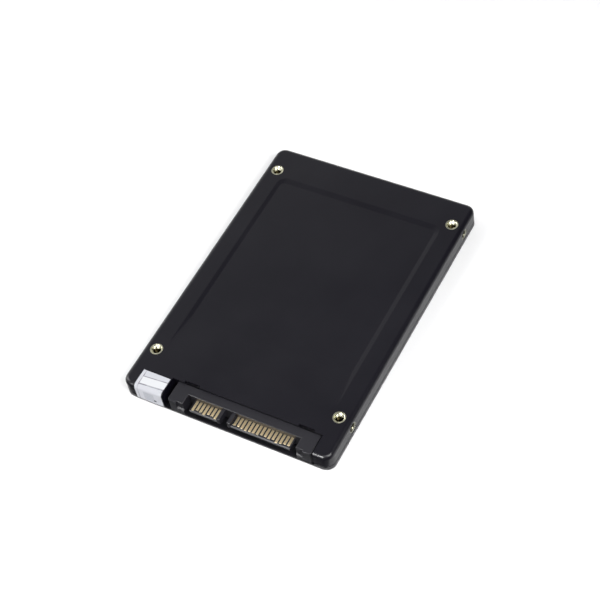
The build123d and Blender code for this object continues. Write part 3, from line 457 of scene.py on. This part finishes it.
def seal_print():
    """The white seal: a slightly turned ruled frame, grey margins and a hatched patch."""
    material, tree, shader = new_material("seal_paper")
    vector = object_coordinates(tree)
    x, y, z = object_axes(tree)
    fibres = noise(tree, vector, SEAL_FIBRE_SCALE, 3.0)
    blotches = noise(tree, vector, SEAL_BLOTCH_SCALE)
    from_left = math_node(tree, "SUBTRACT", x, seal_low[0])
    turn = math_node(tree, "MULTIPLY", from_left, SEAL_TURN)
    turned_y = math_node(tree, "SUBTRACT", y, turn)
    back_y = seal_high[1] - SEAL_BACK_MARGIN
    fold_y = seal_low[1] + FOLD_LINE_SETBACK
    right_of_frame = beyond(tree, from_left, SEAL_MARGIN)
    behind_fold = beyond(tree, turned_y, fold_y)
    before_back = math_node(tree, "LESS_THAN", turned_y, back_y)
    window = both(tree, right_of_frame, both(tree, behind_fold, before_back))

    back_line = both(tree, line_mask(tree, turned_y, back_y, SEAL_LINE), right_of_frame)
    fold_line = both(tree, line_mask(tree, turned_y, fold_y, SEAL_FOLD_LINE), right_of_frame)
    side_line = line_mask(tree, from_left, SEAL_MARGIN, SEAL_LINE)
    lines = either(tree, either(tree, back_line, side_line), fold_line)
    worn_lines = both(tree, lines, remap(tree, blotches, LINE_WEAR_RANGE, (LINE_WORN_SHARE, 1.0)))
    dot = both(
        tree,
        line_mask(tree, x, SEAL_DOT_X, SEAL_DOT_HALF),
        line_mask(tree, z, SEAL_DOT_Z, SEAL_DOT_HALF),
    )
    patch = both(
        tree,
        line_mask(tree, x, HATCH_MIDDLE_X, HATCH_HALF_WIDTH),
        line_mask(tree, z, HATCH_MIDDLE_Z, HATCH_HALF_HEIGHT),
    )
    wave = math_node(tree, "SINE", math_node(tree, "MULTIPLY", z, 2 * math.pi / HATCH_PITCH))
    hatch = both(tree, patch, remap(tree, wave, (-0.5, 0.5), (0.5, 1.0)))

    margin = mix_colour(tree, fibres, *SEAL_MARGIN_TONES)
    framed = mix_colour(tree, window, margin, SEAL_WINDOW_TONE)
    hatch_ink = math_node(tree, "MULTIPLY", hatch, HATCH_INK_SHARE)
    hatched = mix_colour(tree, hatch_ink, framed, HATCH_INK)
    line_ink = math_node(tree, "MULTIPLY", worn_lines, LINE_INK_SHARE)
    inked = mix_colour(tree, line_ink, hatched, LINE_INK)
    feed(tree, mix_colour(tree, dot, inked, DOT_INK), shader.inputs["Base Color"])
    feed(tree, remap(tree, fibres, MARK_RANGE, (0.50, 0.62)), shader.inputs["Roughness"])
    shader.inputs["Specular IOR Level"].default_value = 0.15
    bump(tree, shader, fibres, 0.15, PAPER_DEPTH)
    return material


def label_print():
    """The hidden side's label: pale film with a frame, a band and ruled rows, no words."""
    material, tree, shader = new_material("label_film")
    vector = object_coordinates(tree)
    x, y, _ = object_axes(tree)
    grain = noise(tree, vector, LABEL_GRAIN_SCALE, 3.0)
    half_width = (label_high[0] - label_low[0]) / 2 - LABEL_MARGIN
    half_length = (label_high[1] - label_low[1]) / 2 - LABEL_MARGIN
    middle_x = (label_high[0] + label_low[0]) / 2
    middle_y = (label_high[1] + label_low[1]) / 2

    inside_x = line_mask(tree, x, middle_x, half_width)
    inside_y = line_mask(tree, y, middle_y, half_length)
    from_middle_x = away_from(tree, x, middle_x)
    from_middle_y = away_from(tree, y, middle_y)
    side_line = line_mask(tree, from_middle_x, half_width * LABEL_FRAME_SHARE, LABEL_LINE)
    end_line = line_mask(tree, from_middle_y, half_length * LABEL_FRAME_SHARE, LABEL_LINE)
    ink = either(tree, both(tree, side_line, inside_y), both(tree, end_line, inside_x))
    row_span = line_mask(tree, x, middle_x, half_width * LABEL_ROW_SHARE)
    for k in range(LABEL_ROWS):
        row_y = middle_y - half_length * LABEL_FIRST_ROW_SHARE + k * LABEL_ROW_PITCH
        row = both(tree, line_mask(tree, y, row_y, LABEL_LINE), row_span)
        ink = either(tree, ink, row)
    band_y = middle_y + half_length * LABEL_BAND_SHARE
    band = both(tree, line_mask(tree, y, band_y, LABEL_BAND_HALF), row_span)

    film = mix_colour(tree, grain, *LABEL_TONES)
    banded = mix_colour(tree, band, film, LABEL_BAND_INK)
    ink_share = math_node(tree, "MULTIPLY", ink, LABEL_INK_SHARE)
    inked = mix_colour(tree, ink_share, banded, LABEL_INK)
    feed(tree, inked, shader.inputs["Base Color"])
    feed(tree, remap(tree, grain, MARK_RANGE, (0.25, 0.36)), shader.inputs["Roughness"])
    bump(tree, shader, grain, 0.08, PAPER_DEPTH)
    return material


# Linear colour and roughness of each moulded or ceramic finish.
PLASTICS = {
    "case_plastic": dict(colour=(0.0040, 0.0036, 0.0070), roughness=0.32, specular=0.36),
    "cover_plastic": dict(colour=(0.0080, 0.0078, 0.0105), roughness=0.34, specular=0.45),
    "connector_plastic": dict(
        colour=(0.0145, 0.0140, 0.0180), roughness=0.42, grain=6000.0, strength=0.2, specular=0.3
    ),
    "board_laminate": dict(colour=(0.012, 0.075, 0.035), roughness=0.3, grain=2500.0),
    "chip_black": dict(colour=(0.012, 0.012, 0.013), roughness=0.5),
    "pad_silicone": dict(colour=(0.25, 0.32, 0.42), roughness=0.6),
    "coil_ferrite": dict(colour=(0.03, 0.03, 0.033), roughness=0.5),
    "tantalum_body": dict(colour=(0.55, 0.33, 0.04), roughness=0.4),
    "ceramic_tan": dict(colour=(0.33, 0.24, 0.14), roughness=0.45),
    "resistor_black": dict(colour=(0.014, 0.014, 0.016), roughness=0.3),
}

# Linear colour and roughness of each plain metal finish.
METALS = {
    "contact_gold": dict(colour=(0.94, 0.77, 0.48), roughness=0.34),
    "tin_metal": dict(colour=(0.75, 0.75, 0.76), roughness=0.3),
    "screw_steel": dict(colour=(0.62, 0.62, 0.64), roughness=0.3),
    "crystal_metal": dict(colour=(0.72, 0.71, 0.68), roughness=0.25),
}

finishes = {
    "nut_brass": nut_metal(),
    "seal_paper": seal_print(),
    "label_film": label_print(),
}
for finish, look in PLASTICS.items():
    finishes[finish] = plastic(finish, **look)
for finish, look in METALS.items():
    finishes[finish] = metal(finish, **look)


def dress(node, material):
    """Gives a CAD node its material."""
    slots = nodes[node].data.materials
    if len(slots):
        for i in range(len(slots)):
            slots[i] = material
    else:
        slots.append(material)


for part in record["subparts"]:
    dress(part["node"], finishes[part["material_slot"]])


# ---------------------------------------------------------------- threaded nuts

def linked(shape, name):
    """Makes a linked object from a bmesh, and frees it."""
    mesh = bpy.data.meshes.new(name)
    shape.to_mesh(mesh)
    shape.free()
    piece = bpy.data.objects.new(name, mesh)
    bpy.context.scene.collection.objects.link(piece)
    return piece


def thread_tap(depth):
    """What a tap takes out of a bore: a helix of the thread's section, down from z = 0."""
    inner = BORE_RADIUS - THREAD_BITE
    inner_half = THREAD_PITCH / 2 - THREAD_CREST_FLAT
    outer_half = inner_half - (THREAD_OUTER_RADIUS - inner) * math.tan(THREAD_SLOPE)
    tap = bmesh.new()
    corners = [
        tap.verts.new((inner, 0.0, inner_half)),
        tap.verts.new((THREAD_OUTER_RADIUS, 0.0, outer_half)),
        tap.verts.new((THREAD_OUTER_RADIUS, 0.0, -outer_half)),
        tap.verts.new((inner, 0.0, -inner_half)),
    ]
    profile = tap.faces.new(corners)
    steps = int((depth + THREAD_START) / THREAD_PITCH * THREAD_STEPS)
    bmesh.ops.spin(
        tap,
        geom=[profile] + list(profile.edges) + corners,
        cent=(0.0, 0.0, 0.0),
        axis=(0.0, 0.0, 1.0),
        dvec=(0.0, 0.0, -THREAD_PITCH / THREAD_STEPS),
        angle=steps * 2 * math.pi / THREAD_STEPS,
        steps=steps,
        use_merge=False,
    )
    bmesh.ops.translate(tap, vec=(0.0, 0.0, THREAD_START), verts=tap.verts)
    bmesh.ops.recalc_face_normals(tap, faces=tap.faces)
    return tap


def all_taps():
    """The eight taps, each in its bore, as one mesh object."""
    places = []
    for side in (-1, 1):
        for end in (-1, 1):
            y = NUT_MIDDLE_Y + end * NUT_HALF_SPACING_Y
            face_end = Matrix.Translation((side * NUT_X, y, NUT_FACE_Z))
            places.append((FACE_THREAD_DEPTH, face_end))
            lay_down = Matrix.Rotation(side * math.pi / 2, 4, "Y")
            side_end = Matrix.Translation((side * NUT_SIDE_X, y, SIDE_HOLE_Z))
            places.append((SIDE_THREAD_DEPTH, side_end @ lay_down))
    whole = bmesh.new()
    for depth, place in places:
        tap = thread_tap(depth)
        bmesh.ops.transform(tap, matrix=place, verts=tap.verts)
        step_mesh = bpy.data.meshes.new("tap")
        tap.to_mesh(step_mesh)
        tap.free()
        whole.from_mesh(step_mesh)
        bpy.data.meshes.remove(step_mesh)
    return linked(whole, "thread_taps")


def merged_copy(node, name):
    """A copy of a CAD node's mesh with its loose triangles joined, as a new object."""
    shape = bmesh.new()
    shape.from_mesh(nodes[node].data)
    bmesh.ops.remove_doubles(shape, verts=shape.verts, dist=JOIN_DISTANCE)
    bmesh.ops.dissolve_limit(
        shape, angle_limit=FLAT_ANGLE, verts=shape.verts, edges=shape.edges, delimit=set()
    )
    return linked(shape, name)


def threaded_nuts():
    """The four brass blocks, with the screw threads that the plain bores stand for."""
    piece = merged_copy("corner_nuts", "threaded_nuts")
    taps = all_taps()
    cut = piece.modifiers.new("threads", "BOOLEAN")
    cut.operation = "DIFFERENCE"
    cut.solver = "EXACT"
    cut.object = taps
    graph = bpy.context.evaluated_depsgraph_get()
    mesh = bpy.data.meshes.new_from_object(piece.evaluated_get(graph))
    piece.modifiers.clear()
    piece.data = mesh
    bpy.data.objects.remove(taps)
    mesh.shade_smooth()
    mesh.set_sharp_from_angle(angle=SHARP_ANGLE)
    mesh.materials.clear()
    mesh.materials.append(finishes["nut_brass"])
    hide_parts("corner_nuts")
    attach(piece, "root")


def soften_edges(node, width):
    """Rounds a CAD node's sharp edges a little, as a moulded or stamped piece has them."""
    piece = nodes[node]
    weld = piece.modifiers.new("weld", "WELD")
    weld.merge_threshold = JOIN_DISTANCE
    edge = piece.modifiers.new("edges", "BEVEL")
    edge.limit_method = "ANGLE"
    edge.angle_limit = EDGE_ANGLE
    edge.width = width
    edge.segments = EDGE_SEGMENTS


threaded_nuts()
soften_edges("sata_housing", HOUSING_EDGE)
soften_edges("signal_contacts", CONTACT_EDGE)
soften_edges("power_contacts", CONTACT_EDGE)


# ---------------------------------------------------------------- floor, light, camera

def flat_sheet(name, width, length, place):
    """A flat sheet round a place."""
    shape = bmesh.new()
    bmesh.ops.create_grid(shape, x_segments=1, y_segments=1, size=0.5)
    bmesh.ops.scale(shape, vec=(width, length, 1.0), verts=shape.verts)
    bmesh.ops.translate(shape, vec=place, verts=shape.verts)
    return linked(shape, name)


def pale_floor():
    """A wide plain floor under the drive."""
    floor = flat_sheet("floor", FLOOR_SIZE, FLOOR_SIZE, (0.0, 0.0, -FLOOR_GAP))
    material, tree, shader = new_material("floor_paper")
    grain = noise(tree, object_coordinates(tree), FLOOR_GRAIN, 3.0)
    feed(tree, mix_colour(tree, grain, *FLOOR_TONES), shader.inputs["Base Color"])
    shader.inputs["Roughness"].default_value = PAPER_ROUGHNESS
    floor.data.materials.append(material)


def reflection_card():
    """A dark card before the drive, which only reflections see; it keeps the front dark."""
    middle_y = case_low[1] - CARD_GAP - CARD_LENGTH / 2
    card = flat_sheet("reflection_card", CARD_WIDTH, CARD_LENGTH, (0.0, middle_y, CARD_HEIGHT))
    material, _, shader = new_material("card_black")
    shader.inputs["Base Color"].default_value = (*CARD_TONE, 1.0)
    shader.inputs["Roughness"].default_value = PAPER_ROUGHNESS
    card.data.materials.append(material)
    card.visible_camera = False
    card.visible_diffuse = False
    card.visible_shadow = False


def soft_light(name, place, size, power, on_matt):
    """A square area light that points at the drive."""
    data = bpy.data.lights.new(name, "AREA")
    data.shape = "SQUARE"
    data.size = size
    data.energy = power
    light = bpy.data.objects.new(name, data)
    light.location = place
    light.rotation_euler = (-Vector(place)).to_track_quat("-Z", "Y").to_euler()
    light.visible_diffuse = on_matt
    bpy.context.scene.collection.objects.link(light)


def studio_world():
    """A pale surround that grows brighter towards one side, like a tent lit from there."""
    world = bpy.data.worlds.new("studio")
    bpy.context.scene.world = world
    world.use_nodes = True
    tree = world.node_tree
    background = tree.nodes["Background"]
    direction = add(tree, "ShaderNodeTexCoord")
    towards = add(tree, "ShaderNodeVectorMath", operation="DOT_PRODUCT")
    tree.links.new(direction.outputs["Generated"], towards.inputs[0])
    towards.inputs[1].default_value = WORLD_BRIGHT_SIDE.normalized()
    glow = remap(
        tree,
        towards.outputs["Value"],
        (WORLD_GLOW_START, WORLD_GLOW_END),
        (WORLD_LOW, WORLD_HIGH),
    )
    feed(tree, glow, background.inputs["Strength"])
    background.inputs["Color"].default_value = (1.0, 1.0, 1.0, 1.0)


def studio_camera():
    """The camera, turned about its own axis by the view's roll."""
    data = bpy.data.cameras.new("camera")
    data.lens = LENS
    data.sensor_width = SENSOR
    data.clip_start = CLIP_NEAR
    data.clip_end = CLIP_FAR
    camera = bpy.data.objects.new("camera", data)
    bpy.context.scene.collection.objects.link(camera)
    back = Vector(
        (
            math.sin(VIEW_AZIMUTH) * math.cos(VIEW_ELEVATION),
            -math.cos(VIEW_AZIMUTH) * math.cos(VIEW_ELEVATION),
            math.sin(VIEW_ELEVATION),
        )
    )
    level_right = Vector((math.cos(VIEW_AZIMUTH), math.sin(VIEW_AZIMUTH), 0.0))
    level_up = back.cross(level_right)
    right = level_right * math.cos(VIEW_ROLL) - level_up * math.sin(VIEW_ROLL)
    up = level_up * math.cos(VIEW_ROLL) + level_right * math.sin(VIEW_ROLL)
    turn = Matrix((right, up, back)).transposed().to_4x4()
    camera.matrix_world = Matrix.Translation(VIEW_AIM + back * VIEW_DISTANCE) @ turn
    bpy.context.scene.camera = camera


pale_floor()
studio_world()
reflection_card()
for light_row in LIGHTS:
    soft_light(*light_row)
studio_camera()
bpy.context.scene.view_settings.view_transform = "Standard"
